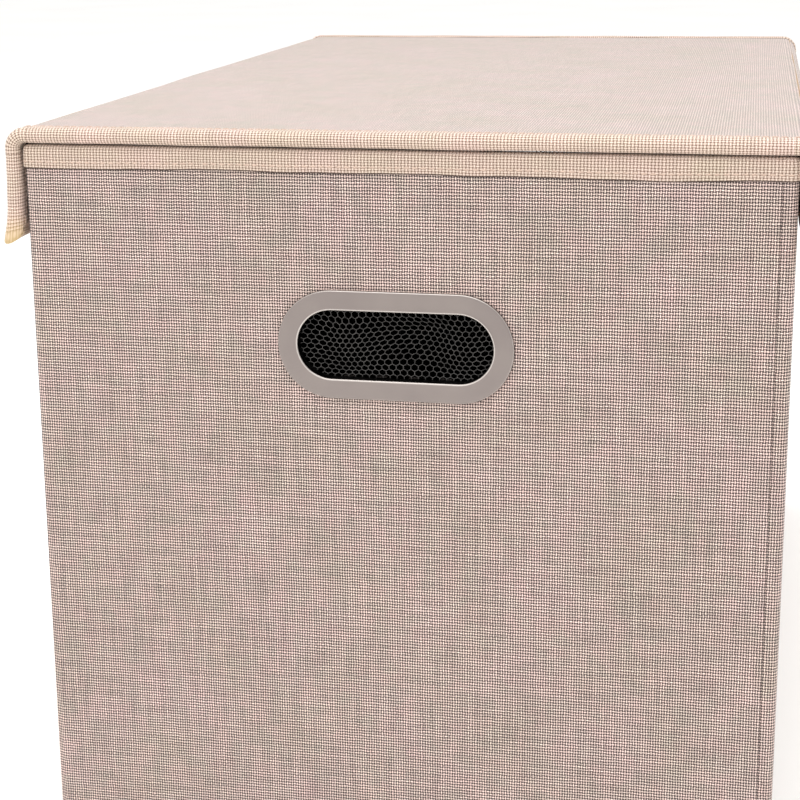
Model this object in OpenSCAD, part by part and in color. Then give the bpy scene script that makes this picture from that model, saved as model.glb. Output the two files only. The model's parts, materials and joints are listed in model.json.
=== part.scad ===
// Lidded fabric storage bin: linen-look cloth over stiff boards, a metal-edged
// hand hole in each short end, a lift-off lid with a drop flap on each long side
// and a loose board in the bottom.
// The origin is on the surface under the middle of the bin. X runs across the
// short ends, Y along the long sides and Z up. The front end faces -Y.

/* [Body] */
// Width across a short end
body_w = 300; // [240:10:400]
// Length along a long side
body_l = 500; // [400:10:640]
// Height from the surface to the top of the rim
body_h = 300; // [220:10:400]
// Outer radius of the upright corners
corner_r = 3; // [2:0.5:5]
// Distance of each upright seam from the corner next to it
seam_in = 6; // [5:0.5:12]

/* [Cloth and boards] */
// Thickness of the linen-look outer cloth
cover_t = 1; // [0.8:0.1:1.2]
// Thickness of the wall, lid and flap boards
board_t = 3; // [2:0.5:4]
// Thickness of the non-woven lining
lining_t = 0.8; // [0.5:0.1:1]
// Thickness of the folded edge tape
tape_t = 0.7; // [0.5:0.1:0.8]
// Height of the edge tape on the outside of the rim
rim_tape_h = 8.8; // [6:0.2:14]
// Gap between the end of a board and the inside of the cloth
board_gap = 0.5; // [0.3:0.1:1]

/* [Hand holes] */
// Width of the metal ring
ring_w = 93.5; // [88:0.5:110]
// Height of the metal ring
ring_h = 42.5; // [36:0.5:48]
// Width of the hand hole inside the ring
hole_w = 77.5; // [74:0.5:79]
// Height of the hand hole inside the ring
hole_h = 27.5; // [22:0.5:28]
// Thickness of the ring's face and of the backing ring
ring_t = 1.2; // [0.8:0.1:1.6]
// Wall of the ring's collar through the hole
collar_t = 0.8; // [0.6:0.1:1]
// Depth of the ring's middle below the top of the rim
ring_drop = 76.5; // [50:0.5:120]
// Thickness of the net behind the hole
net_t = 0.4; // [0.3:0.1:0.6]
// Width of the net beyond the ring on every side
net_margin = 6; // [4:1:12]

/* [Lid] */
// Gap between the rim and the underside of the lid
lid_gap = 0.5; // [0.3:0.1:1.5]
// Gap between the flaps and the body's sides
flap_gap = 1.3; // [1:0.1:4]
// How far the lid reaches past each short end
lid_end_out = 2; // [1.5:0.5:5]
// Drop of the flaps' lower edges below the top of the lid
flap_drop = 45; // [25:1:80]
// Width of the edge tape on the faces of the lid and the flaps
lid_tape_w = 9; // [6:0.5:12]
// Hollow inside the rolled tape, past the end of the lid's panel
roll_gap = 1; // [1:0.1:2]

/* [Bottom insert] */
// Thickness of the insert's board
insert_board_t = 3; // [2:0.5:4]
// Thickness of the cloth glued round the insert's board
insert_wrap_t = 0.4; // [0.3:0.1:0.6]
// Gap between the insert and the narrowest part of the bin's inside
insert_gap = 1.2; // [1:0.1:4]

/* [Hidden] */

$fn = 48;

// A cut goes this far past the faces it opens
past = 1;
// Gap round the collar, its tabs and the folds
fit = 0.2;
// Wall, lid and flap all have the same three layers
panel_t = cover_t + board_t + lining_t;
// The walls' layers end under the rim's tape
wall_top = body_h - tape_t;
// Height of the hand holes' middle
ring_z = body_h - ring_drop;
// Depths into a wall, from its outer face
net_depth = cover_t + board_t;
lining_depth = net_depth + net_t;
backing_depth = lining_depth + lining_t;
tab_depth = backing_depth + ring_t;
// Tabs of the ring's collar, folded over the backing ring
tab_w = 4;
tab_fold = 3;
tab_t = collar_t;
tab_pitch = 13;
tab_count = 4;
// Hole in the cloth and the boards, round the collar
cut_w = hole_w + 2 * collar_t + 2 * fit;
cut_h = hole_h + 2 * collar_t + 2 * fit;
// The space inside the linings; the end linings sit deeper, by the net's thickness
inner_w = body_w - 2 * panel_t;
inner_l = body_l - 2 * (lining_depth + lining_t);

// Thickness of the panels with edge tape on both faces
taped_t = panel_t + 2 * tape_t;
lid_w = body_w + 2 * (flap_gap + taped_t);
lid_l = body_l + 2 * lid_end_out;
lid_low = body_h + lid_gap;
lid_top = lid_low + taped_t;
// The cloth's fold is centred this far under the outer faces of lid and flap
fold_r = cover_t + 1;
fold_x = lid_w / 2 - tape_t - fold_r;
fold_z = lid_top - tape_t - fold_r;
// The lid's panel ends just inboard of the fold's centre. The turned-down cloth
// reaches below it, and the flap's panel starts clear below that cloth
fold_inset = 1;
fold_reach = 3.8;
fold_clear = 0.9;
lid_panel_w = 2 * (fold_x - fold_inset);
flap_start = fold_z - fold_reach - fold_clear;
flap_low = lid_top - flap_drop;

insert_low = cover_t + lining_t + fit;
insert_w = inner_w - 2 * tape_t - 2 * insert_gap;
insert_l = body_l - 2 * (tab_depth + tab_t + insert_gap);

cloth_colour = "#C9B3A7";
tape_colour = "#D9C2B0";
board_colour = "#A98C6B";
lining_colour = "#3A3836";
metal_colour = "#A89E98";
net_colour = "#1C1B1B";

// A block between two corners
module block(low, high) {
    translate(low) cube(high - low);
}

// A rectangle with round corners, centred
module rounded(w, l, r) {
    square([w - 2 * r, l], center = true);
    square([w, l - 2 * r], center = true);
    for (x = [-1, 1], y = [-1, 1])
        translate([x * (w / 2 - r), y * (l / 2 - r)]) circle(r);
}

// An oval with straight sides and round ends, centred
module oval(w, h) {
    square([w - h, h], center = true);
    for (x = [-1, 1]) translate([x * (w - h) / 2, 0]) circle(d = h);
}

// One layer of the front end, of thickness t, starting at depth from the outer
// face; its outline is drawn on X and height
module front_layer(depth, t) {
    translate([0, -body_l / 2 + depth + t, 0]) rotate([90, 0, 0]) linear_extrude(t) children();
}

// The same part at the back end
module back() {
    mirror([0, 1, 0]) children();
}

// The same part on the right-hand side
module right() {
    mirror([1, 0, 0]) children();
}

// Outline of an end panel between two heights, with the hole for the collar
module end_outline(w, low, high) {
    difference() {
        translate([-w / 2, low]) square([w, high - low]);
        translate([0, ring_z]) oval(cut_w, cut_h);
    }
}

// The walls' cloth inside a plan rectangle between two corners
module wall_cloth(low, high) {
    translate([0, 0, cover_t]) linear_extrude(wall_top - cover_t) intersection() {
        difference() {
            rounded(body_w, body_l, corner_r);
            rounded(body_w - 2 * cover_t, body_l - 2 * cover_t, corner_r - cover_t);
        }
        translate(low) square(high - low);
    }
}

// Each wall's cloth goes round one corner and is seamed to its neighbour just past
// it. The front's goes round the corner on its left; the back's is the same part
// turned half round
module end_cover() {
    x = body_w / 2;
    y = body_l / 2;
    difference() {
        wall_cloth([-x - past, -y - past], [x - seam_in, seam_in - y]);
        front_layer(-past, cover_t + 2 * past) translate([0, ring_z]) oval(cut_w, cut_h);
    }
}

// The left side's cloth goes round the corner at the back
module side_cover() {
    x = body_w / 2;
    y = body_l / 2;
    wall_cloth([-x - past, seam_in - y], [seam_in - x, y + past]);
}

module end_board() {
    front_layer(cover_t, board_t)
        end_outline(body_w - 2 * corner_r, cover_t + board_gap, wall_top - board_gap);
}

module end_lining() {
    front_layer(lining_depth, lining_t) end_outline(body_w - 2 * net_depth, cover_t, wall_top);
}

// The side boards end just short of the end boards
module side_board() {
    x = -body_w / 2 + cover_t;
    y = body_l / 2 - max(corner_r, net_depth + board_gap);
    block([x, -y, cover_t + board_gap], [x + board_t, y, wall_top - board_gap]);
}

module side_lining() {
    x = -body_w / 2 + cover_t + board_t;
    y = body_l / 2 - lining_depth - lining_t;
    block([x, -y, cover_t], [x + lining_t, y, wall_top]);
}

module bottom_panel() {
    linear_extrude(cover_t) rounded(body_w, body_l, corner_r);
}

module floor_panel() {
    block([-inner_w / 2, -inner_l / 2, cover_t], [inner_w / 2, inner_l / 2, cover_t + lining_t]);
}

// Tape folded over the top of all four walls
module rim_tape_loop() {
    low = body_h - rim_tape_h;
    difference() {
        translate([0, 0, low]) linear_extrude(rim_tape_h) difference() {
            rounded(body_w + 2 * tape_t, body_l + 2 * tape_t, corner_r + tape_t);
            square([inner_w - 2 * tape_t, inner_l - 2 * tape_t], center = true);
        }
        translate([0, 0, low - past]) linear_extrude(wall_top - low + past) difference() {
            rounded(body_w, body_l, corner_r);
            square([inner_w, inner_l], center = true);
        }
    }
}

// Places of the collar's tabs along the top and bottom of the hole; up is 1 or -1
module at_tabs() {
    for (i = [0:tab_count - 1], up = [-1, 1])
        translate([(i - (tab_count - 1) / 2) * tab_pitch, 0, ring_z])
            mirror([0, 0, up < 0 ? 1 : 0]) children();
}

// One tab's straight part through the wall, wider by extra all round
module tab_leg(extra) {
    y = -body_l / 2;
    block(
        [-tab_w / 2 - extra, y + net_depth - (extra > 0 ? past : 0), hole_h / 2 - extra],
        [tab_w / 2 + extra, y + tab_depth + tab_t + (extra > 0 ? past : 0), hole_h / 2 + tab_t + extra]
    );
}

// Face plate on the cloth, collar through the hole, and tabs folded over behind
module end_ring() {
    front_layer(-ring_t, ring_t) translate([0, ring_z]) difference() {
        oval(ring_w, ring_h);
        oval(hole_w, hole_h);
    }
    front_layer(0, net_depth) translate([0, ring_z]) difference() {
        oval(hole_w + 2 * collar_t, hole_h + 2 * collar_t);
        oval(hole_w, hole_h);
    }
    at_tabs() {
        tab_leg(0);
        block(
            [-tab_w / 2, -body_l / 2 + tab_depth, hole_h / 2],
            [tab_w / 2, -body_l / 2 + tab_depth + tab_t, hole_h / 2 + tab_t + fit + tab_fold]
        );
    }
}

module end_backing_ring() {
    front_layer(backing_depth, ring_t) translate([0, ring_z]) difference() {
        oval(ring_w, ring_h);
        oval(cut_w, cut_h);
    }
}

// The net lies between the board and the lining, with a slot for each tab
module end_net() {
    difference() {
        front_layer(net_depth, net_t) translate([0, ring_z])
            square([ring_w + 2 * net_margin, ring_h + 2 * net_margin], center = true);
        at_tabs() tab_leg(fit);
    }
}

module insert_core(extra, low) {
    x = insert_w / 2 - insert_wrap_t + extra;
    y = insert_l / 2 - insert_wrap_t + extra;
    block([-x, -y, low], [x, y, low + insert_board_t + 2 * extra]);
}

// One layer of the lid's panel, starting at height low above its underside
module lid_layer(low, t, short = 0) {
    x = lid_panel_w / 2 - short;
    y = lid_l / 2 - tape_t - roll_gap - short;
    z = lid_low + tape_t + low;
    block([-x, -y, z], [x, y, z + t]);
}

// Section of the tape rolled round the panel's edge: the roll's outside is half
// round, and the panel goes in from the left
module tape_section() {
    r = taped_t / 2;
    difference() {
        union() {
            translate([0, -r]) square([lid_tape_w - r, 2 * r]);
            translate([lid_tape_w - r, 0]) circle(r);
        }
        translate([-past, -panel_t / 2]) square([lid_tape_w - tape_t - roll_gap + past, panel_t]);
    }
}

// Edge tape along the lid's front edge
module lid_end_tape() {
    y = -lid_l / 2 + lid_tape_w;
    z = lid_low + tape_t + panel_t / 2;
    translate([-lid_panel_w / 2, y, z]) rotate([90, 0, 90]) linear_extrude(lid_panel_w)
        mirror([1, 0]) tape_section();
}

// The lid's cloth turned down over its left edge
module cloth_fold() {
    y = lid_l / 2 - tape_t;
    translate([-fold_x, y, fold_z]) rotate([90, 0, 0]) linear_extrude(2 * y) {
        translate([0, fold_r - cover_t]) square([fold_inset, cover_t]);
        translate([-fold_r, -fold_reach]) square([cover_t, fold_reach]);
        intersection() {
            difference() {
                circle(fold_r);
                circle(fold_r - cover_t);
            }
            translate([-fold_r, 0]) square(fold_r);
        }
    }
}

// One layer of the left flap's panel, starting at depth from its outer face
module flap_layer(depth, t, short = 0) {
    x = -lid_w / 2 + tape_t + depth;
    y = lid_l / 2 - tape_t - short;
    block([x, -y, flap_low + tape_t + short], [x + t, y, flap_start - short]);
}

// Edge tape round the left flap's two ends and lower edge
module flap_edge_tape() {
    x = -lid_w / 2;
    y = lid_l / 2;
    difference() {
        block([x, -y, flap_low], [x + taped_t, y, flap_start]);
        block(
            [x - past, -y + lid_tape_w, flap_low + lid_tape_w],
            [x + taped_t + past, y - lid_tape_w, flap_start + past]
        );
        block(
            [x + tape_t, -y + tape_t, flap_low + tape_t],
            [x + tape_t + panel_t, y - tape_t, flap_start + past]
        );
    }
}

module front_cover() { color(cloth_colour) end_cover(); }
module back_cover() { color(cloth_colour) rotate([0, 0, 180]) end_cover(); }
module left_cover() { color(cloth_colour) side_cover(); }
module right_cover() { color(cloth_colour) rotate([0, 0, 180]) side_cover(); }
module bottom_cover() { color(cloth_colour) bottom_panel(); }
module front_board() { color(board_colour) end_board(); }
module back_board() { color(board_colour) back() end_board(); }
module left_board() { color(board_colour) side_board(); }
module right_board() { color(board_colour) right() side_board(); }
module front_lining() { color(lining_colour) end_lining(); }
module back_lining() { color(lining_colour) back() end_lining(); }
module left_lining() { color(lining_colour) side_lining(); }
module right_lining() { color(lining_colour) right() side_lining(); }
module floor_lining() { color(lining_colour) floor_panel(); }
module rim_tape() { color(tape_colour) rim_tape_loop(); }
module front_ring() { color(metal_colour) end_ring(); }
module back_ring() { color(metal_colour) back() end_ring(); }
module front_backing_ring() { color(metal_colour) end_backing_ring(); }
module back_backing_ring() { color(metal_colour) back() end_backing_ring(); }
module front_net() { color(net_colour) end_net(); }
module back_net() { color(net_colour) back() end_net(); }

module insert_board() { color(board_colour) insert_core(0, insert_low + insert_wrap_t); }

module insert_wrap() {
    color(lining_colour) difference() {
        insert_core(insert_wrap_t, insert_low);
        insert_core(0, insert_low + insert_wrap_t);
    }
}

module lid_board() { color(board_colour) lid_layer(lining_t, board_t, board_gap); }
module lid_cover() { color(cloth_colour) lid_layer(lining_t + board_t, cover_t); }
module lid_lining() { color(lining_colour) lid_layer(0, lining_t); }
module lid_front_tape() { color(tape_colour) lid_end_tape(); }
module lid_back_tape() { color(tape_colour) back() lid_end_tape(); }
module left_fold() { color(cloth_colour) cloth_fold(); }
module right_fold() { color(cloth_colour) right() cloth_fold(); }
module left_flap_board() { color(board_colour) flap_layer(cover_t, board_t, board_gap); }
module left_flap_cover() { color(cloth_colour) flap_layer(0, cover_t); }
module left_flap_lining() { color(lining_colour) flap_layer(cover_t + board_t, lining_t); }
module left_flap_tape() { color(tape_colour) flap_edge_tape(); }
module right_flap_board() { color(board_colour) right() flap_layer(cover_t, board_t, board_gap); }
module right_flap_cover() { color(cloth_colour) right() flap_layer(0, cover_t); }
module right_flap_lining() { color(lining_colour) right() flap_layer(cover_t + board_t, lining_t); }
module right_flap_tape() { color(tape_colour) right() flap_edge_tape(); }

front_cover();
back_cover();
left_cover();
right_cover();
bottom_cover();
front_board();
back_board();
left_board();
right_board();
front_lining();
back_lining();
left_lining();
right_lining();
floor_lining();
rim_tape();
front_ring();
back_ring();
front_backing_ring();
back_backing_ring();
front_net();
back_net();
insert_board();
insert_wrap();
lid_board();
lid_cover();
lid_lining();
lid_front_tape();
lid_back_tape();
left_fold();
right_fold();
left_flap_board();
left_flap_cover();
left_flap_lining();
left_flap_tape();
right_flap_board();
right_flap_cover();
right_flap_lining();
right_flap_tape();
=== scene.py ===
"""Fabric storage bin with a lift-off saddle lid: linen-look cloth stretched over boards, rolled canvas edge tapes,
satin nickel rings round the hand holes with a black net behind them, and a charcoal non-woven lining.

Lengths are in millimetres until a mesh is made, where MM turns them into metres.
"""
import json
import math

import bmesh
import bpy
import numpy as np
from mathutils import Matrix, Vector

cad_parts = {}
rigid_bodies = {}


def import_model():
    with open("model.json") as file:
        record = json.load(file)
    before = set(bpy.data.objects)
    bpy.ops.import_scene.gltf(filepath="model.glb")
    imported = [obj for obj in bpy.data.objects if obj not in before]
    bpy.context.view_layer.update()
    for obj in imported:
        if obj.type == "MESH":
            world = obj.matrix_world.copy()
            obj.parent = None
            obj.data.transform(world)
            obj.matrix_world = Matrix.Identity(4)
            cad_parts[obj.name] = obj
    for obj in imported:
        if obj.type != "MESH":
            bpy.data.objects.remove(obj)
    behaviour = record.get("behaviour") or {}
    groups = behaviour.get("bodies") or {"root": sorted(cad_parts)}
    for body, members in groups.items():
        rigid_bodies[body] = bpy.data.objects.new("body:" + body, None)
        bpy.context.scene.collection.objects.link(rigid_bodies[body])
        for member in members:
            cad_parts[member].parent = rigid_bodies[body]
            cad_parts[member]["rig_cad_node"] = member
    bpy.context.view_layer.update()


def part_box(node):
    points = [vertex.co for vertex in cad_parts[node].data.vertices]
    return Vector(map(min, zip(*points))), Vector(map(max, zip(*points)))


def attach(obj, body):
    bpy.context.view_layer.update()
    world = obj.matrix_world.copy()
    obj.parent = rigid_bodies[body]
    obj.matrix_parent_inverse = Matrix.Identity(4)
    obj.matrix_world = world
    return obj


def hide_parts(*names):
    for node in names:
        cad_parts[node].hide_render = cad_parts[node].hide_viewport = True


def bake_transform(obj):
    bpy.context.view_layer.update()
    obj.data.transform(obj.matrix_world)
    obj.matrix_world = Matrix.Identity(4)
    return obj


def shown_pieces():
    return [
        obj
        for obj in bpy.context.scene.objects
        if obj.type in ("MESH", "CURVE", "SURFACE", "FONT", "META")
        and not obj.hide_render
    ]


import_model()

MM = 0.001
FRONT, BACK = -1, 1
LEFT, RIGHT = -1, 1


# ---------------------------------------------------------------- camera

YAW, PITCH, ROLL = map(math.radians, (-12.405, 13.446, -0.739))
ahead = Vector((math.sin(YAW) * math.cos(PITCH), math.cos(YAW) * math.cos(PITCH), -math.sin(PITCH)))
level = Vector((math.cos(YAW), -math.sin(YAW), 0))
above = level.cross(ahead)
right = math.cos(ROLL) * level + math.sin(ROLL) * above
up = -math.sin(ROLL) * level + math.cos(ROLL) * above
lens = bpy.data.cameras.new("camera")
lens.sensor_width = 36
lens.lens = 78.9
lens.shift_x, lens.shift_y = 0.0385, -0.0945
camera = bpy.data.objects.new("camera", lens)
camera.matrix_world = (Matrix.Translation((0.1322, -0.8969, 0.3904))
                       @ Matrix((right, up, -ahead)).transposed().to_4x4())
bpy.context.scene.collection.objects.link(camera)
bpy.context.scene.camera = camera


# ---------------------------------------------------------------- the frame's sizes

def corners(node):
    """Lowest and highest corner of a CAD node, in millimetres."""
    low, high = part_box(node)
    return np.array(low) / MM, np.array(high) / MM


end_cover_low, end_cover_high = corners("front_cover")
rim_low, rim_high = corners("rim_tape")
ring_low, ring_high = corners("front_ring")
net_low, net_high = corners("front_net")
end_lining_low, end_lining_high = corners("front_lining")
side_lining_low, side_lining_high = corners("right_lining")
floor_low, floor_high = corners("floor_lining")
lid_cover_low, lid_cover_high = corners("lid_cover")
lid_lining_low, lid_lining_high = corners("lid_lining")
lid_tape_low, lid_tape_high = corners("lid_front_tape")
flap_tape_low, flap_tape_high = corners("right_flap_tape")
insert_low, insert_high = corners("insert_wrap")

# The walls; a wall's cloth ends SEAM_IN before its right-hand corner, as seen from outside
HALF_W, HALF_L = corners("bottom_cover")[1][:2]
CORNER_R = 3.0
SEAM_IN = HALF_W - end_cover_high[0]
CLOTH_LOW, CLOTH_HIGH = end_cover_low[2], end_cover_high[2]

# The ring, its hand hole and its collar, and the cloth's cut hidden under the ring's face
RING_Z = (ring_low[2] + ring_high[2]) / 2
RING_W, RING_H = ring_high[0] - ring_low[0], ring_high[2] - ring_low[2]
RING_PROUD = -HALF_L - ring_low[1]
RING_DEPTH = HALF_L + ring_high[1]
NET_DEPTH = HALF_L + net_low[1]
HOLE_W, HOLE_H = 77.5, 27.5
COLLAR = 0.8
CUT_W, CUT_H = HOLE_W + 2, HOLE_H + 2

# The lid's and the flaps' panels lie on one middle surface, which turns down at the long sides round FOLD_R
LID_MID = (lid_tape_high[2] + lid_tape_low[2]) / 2
FLAP_MID = (flap_tape_high[0] + flap_tape_low[0]) / 2
FACE, UNDER = lid_cover_high[2] - LID_MID, lid_lining_low[2] - LID_MID
FOLD_R = 5.2
FLARE = 1.2
FOLD_X, FOLD_Z = FLAP_MID - FOLD_R, LID_MID - FOLD_R
QUARTER = FOLD_R * math.pi / 2
# Their edge tape: the radius of its roll, the middle of the roll, and the width of the legs
ROLL_R = (lid_tape_high[2] - lid_tape_low[2]) / 2
ROLL_Y = -lid_tape_low[1] - ROLL_R
ROLL_S = FOLD_X + QUARTER + FOLD_Z - flap_tape_low[2] - ROLL_R
LEG = 9.0 - ROLL_R
# Runs from the middle of the lid, over its face, to where the fold's cloth begins and ends
FOLD_FROM, FOLD_TO = FOLD_X - 1.5, FOLD_X + QUARTER + 2.0
# Two points on the fold, the start and end given with the rides of its pieces
TURN_START, TURN_END = (FOLD_X + 1.9, LID_MID - 1.4), (FOLD_X + 4.8, LID_MID - 4.3)


# ---------------------------------------------------------------- colours and nodes

def shade(code):
    """An sRGB hex colour as linear red, green, blue and alpha."""
    parts = np.array([int(code[i:i + 2], 16) for i in (1, 3, 5)]) / 255
    linear = np.where(parts <= 0.04045, parts / 12.92, ((parts + 0.055) / 1.055) ** 2.4)
    return (*linear.tolist(), 1.0)


def add(tree, kind, sockets, out=0, stops=(), **settings):
    """Adds a node and gives its output. Sockets maps an input's name or number to a value or to another node's
    output, stops are a colour ramp's places and hex colours, and settings are the node's own attributes."""
    node = tree.nodes.new("ShaderNode" + kind)
    for key, value in settings.items():
        setattr(node, key, value)
    for key, value in sockets.items():
        if isinstance(value, bpy.types.NodeSocket):
            tree.links.new(value, node.inputs[key])
        else:
            node.inputs[key].default_value = value
    for place, _ in stops[2:]:
        node.color_ramp.elements.new(place)
    for number, (place, code) in enumerate(stops):
        node.color_ramp.elements[number].position = place
        node.color_ramp.elements[number].color = shade(code)
    return node.outputs[out] if node.outputs else None


def start_material(name):
    """An empty node material: the material, its tree and its shader node."""
    material = bpy.data.materials.new(name)
    material.use_nodes = True
    material.node_tree.nodes.clear()
    closure = add(material.node_tree, "BsdfPrincipled", {})
    add(material.node_tree, "OutputMaterial", {"Surface": closure})
    return material, material.node_tree, closure.node


def dress(tree, shader, colour, height, relief, depth, roughness, **uniform):
    """Links a colour and a bump of a depth in millimetres to a shader and sets its uniform sockets."""
    tree.links.new(colour, shader.inputs["Base Color"])
    bump = add(tree, "Bump", {"Height": height, "Strength": relief, "Distance": depth * MM})
    tree.links.new(bump, shader.inputs["Normal"])
    shader.inputs["Roughness"].default_value = roughness
    for key, value in uniform.items():
        shader.inputs[key.replace("_", " ")].default_value = value


def plain_weave(tree, pitch, wander, gap):
    """Plain weave on the cloth's own coordinates. Each warp yarn is a parabola across its width, lifted and sunk by a
    sine along it that changes sign from one yarn to the next; the weft is the same, turned and half a wave out. The
    surface is the higher of the two. Gives the height, from 0 in the holes to 1 on the crowns, and a tone that
    changes from yarn to yarn and slowly along each."""
    cloth = add(tree, "Attribute", {}, attribute_name="cloth", out="Vector")
    drift = add(tree, "TexNoise", {"Vector": cloth, "Scale": 260.0, "Detail": 3.0}, out="Color")
    drift = add(tree, "VectorMath", {0: drift, 1: (0.5, 0.5, 0.5)}, operation="SUBTRACT")
    place = add(tree, "VectorMath", {0: drift, 1: (wander * MM, wander * MM, 0), 2: cloth}, operation="MULTIPLY_ADD")
    place = add(tree, "VectorMath", {0: place, 1: (1 / pitch[0] / MM, 1 / pitch[1] / MM, 0)}, operation="MULTIPLY")
    axes = [add(tree, "SeparateXYZ", {0: place}, out=axis) for axis in (0, 1)]
    heights, tones = [], []
    for across, along, sign in ((axes[0], axes[1], 1), (axes[1], axes[0], -1)):
        number = add(tree, "Math", {0: across}, operation="FLOOR")
        off = add(tree, "Math", {0: add(tree, "Math", {0: across}, operation="FRACT"), 1: 0.5}, operation="SUBTRACT")
        off = add(tree, "Math", {0: off, 1: 2 / (1 - gap)}, operation="MULTIPLY")
        crown = add(tree, "Math", {0: off, 1: off}, operation="MULTIPLY")
        crown = add(tree, "Math", {0: 1.0, 1: crown}, operation="SUBTRACT")
        crown = add(tree, "Math", {0: crown, 1: 0.0}, operation="MAXIMUM")
        phase = add(tree, "Math", {0: add(tree, "Math", {0: along, 1: number}, operation="ADD"), 1: math.pi},
                    operation="MULTIPLY")
        lift = add(tree, "Math", {0: add(tree, "Math", {0: phase}, operation="SINE"), 1: 0.32 * sign, 2: 0.68},
                   operation="MULTIPLY_ADD")
        heights.append(add(tree, "Math", {0: crown, 1: lift}, operation="MULTIPLY"))
        spot = add(tree, "CombineXYZ", {0: add(tree, "Math", {0: number, 1: 0.731}, operation="MULTIPLY"),
                                        1: add(tree, "Math", {0: along, 1: 0.045}, operation="MULTIPLY"),
                                        2: 5.0 * sign})
        tones.append(add(tree, "TexNoise", {"Vector": spot, "Scale": 1.0, "Detail": 3.0, "Roughness": 0.6}))
    height = add(tree, "Math", {0: heights[0], 1: heights[1]}, operation="MAXIMUM")
    over = add(tree, "Math", {0: heights[1], 1: heights[0]}, operation="GREATER_THAN")
    tone = add(tree, "Mix", {0: over, 2: tones[0], 3: tones[1]})
    return height, tone, cloth


def toned(tree, colour, tone, dark, light):
    """The colour multiplied by a grey that goes from dark to light as the tone goes from 0.3 to 0.7."""
    grey = add(tree, "MapRange", {"Value": tone, "From Min": 0.3, "From Max": 0.7, "To Min": dark, "To Max": light})
    return add(tree, "VectorMath", {0: colour, 1: grey}, operation="MULTIPLY")


def mottled(tree, colour, cloth, size, cool, warm):
    """The colour multiplied by a tint that drifts between cool and warm in soft patches of a size in millimetres."""
    patch = add(tree, "TexNoise", {"Vector": cloth, "Scale": 1 / size / MM, "Detail": 3.0, "Roughness": 0.55})
    tint = add(tree, "ValToRGB", {"Fac": patch}, stops=((0.36, cool), (0.64, warm)))
    return add(tree, "Mix", {0: 1.0, 6: colour, 7: tint}, data_type="RGBA", blend_type="MULTIPLY", out=2)


# ---------------------------------------------------------------- materials

def linen_look_polyester():
    """Linen-look polyester in plain weave, pinkish cream yarns on taupe: thick and thin yarns leave dark pin holes,
    pale slubs run along single yarns, and faint pink and grey patches drift over the cloth. Where the attribute soft
    is above zero the cloth lies pressed flat and its holes are closed."""
    material, tree, shader = start_material("linen_look_polyester_weave")
    height, tone, cloth = plain_weave(tree, (1.02, 1.2), 0.6, 0.21)
    colour = add(tree, "ValToRGB", {"Fac": height},
                 stops=((0.06, "#140E0D"), (0.32, "#352B2A"), (0.6, "#948584"), (0.88, "#F0E2DF")))
    colour = toned(tree, colour, tone, 0.68, 1.24)
    soft = add(tree, "Attribute", {}, attribute_name="soft", out="Fac")
    colour = add(tree, "Mix", {0: soft, 6: colour, 7: shade("#BBB4B2")}, data_type="RGBA", out=2)
    colour = mottled(tree, colour, cloth, 9, "#F5F4EE", "#FFF5F2")
    colour = mottled(tree, colour, cloth, 40, "#F6F4EC", "#FFF8F6")
    dress(tree, shader, colour, height, 0.6, 0.25, 0.86, Sheen_Weight=0.22, Sheen_Roughness=0.5)
    return material


def canvas_tape():
    """Cotton canvas tape, plain woven and folded: close round yarns in warm cream, less dark between them than in the
    cloth, so the edges read lighter and smoother; its worn corners are yellower. Deep brown is painted along the rim
    tape's lower edge as the shadow under it, and the rest of the rim tape is darkened a little with the same brown."""
    material, tree, shader = start_material("cotton_canvas_tape")
    height, tone, cloth = plain_weave(tree, (1.3, 1.05), 0.35, 0.04)
    colour = add(tree, "ValToRGB", {"Fac": height},
                 stops=((0.08, "#41332D"), (0.35, "#89776A"), (0.62, "#B7A297"), (0.9, "#E8DBD3")))
    colour = toned(tree, colour, tone, 0.88, 1.1)
    colour = mottled(tree, colour, cloth, 30, "#F5F2E6", "#FFF4F0")
    # worn is the flap tape's yellower wear; the second mix is painted shade: the shadow line under the rim tape's
    # edge, and a slight darkening of the rest of the rim tape
    for name, code in (("worn", "#BFA571"), ("raw", "#3B2A22")):
        amount = add(tree, "Attribute", {}, attribute_name=name, out="Fac")
        colour = add(tree, "Mix", {0: amount, 6: colour, 7: shade(code)}, data_type="RGBA", out=2)
    dress(tree, shader, colour, height, 0.6, 0.25, 0.85, Sheen_Weight=0.15)
    return material


def nonwoven_lining():
    """Spun-bonded polypropylene in charcoal, pressed with a grid of small dimples: flat matt cloth, paler on the
    ridges, with tangled fibres between the dimples."""
    material, tree, shader = start_material("spunbond_nonwoven_charcoal")
    cloth = add(tree, "Attribute", {}, attribute_name="cloth", out="Vector")
    turned = add(tree, "Mapping", {"Vector": cloth, "Rotation": (0, 0, math.radians(45))})
    cell = add(tree, "TexVoronoi", {"Vector": turned, "Scale": 1 / 2.4 / MM, "Randomness": 0.0},
               voronoi_dimensions="2D")
    ridge = add(tree, "MapRange", {"Value": cell, "From Min": 0.2, "From Max": 0.36}, interpolation_type="SMOOTHSTEP")
    fibre = add(tree, "TexNoise", {"Vector": cloth, "Scale": 900.0, "Detail": 4.0, "Roughness": 0.7})
    raised = add(tree, "Math", {0: fibre, 1: 0.35, 2: ridge}, operation="MULTIPLY_ADD")
    colour = add(tree, "ValToRGB", {"Fac": raised}, stops=((0.1, "#2B2A2A"), (0.6, "#393736"), (1.0, "#4A4745")))
    dress(tree, shader, colour, raised, 0.7, 0.2, 0.7)
    return material


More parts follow.
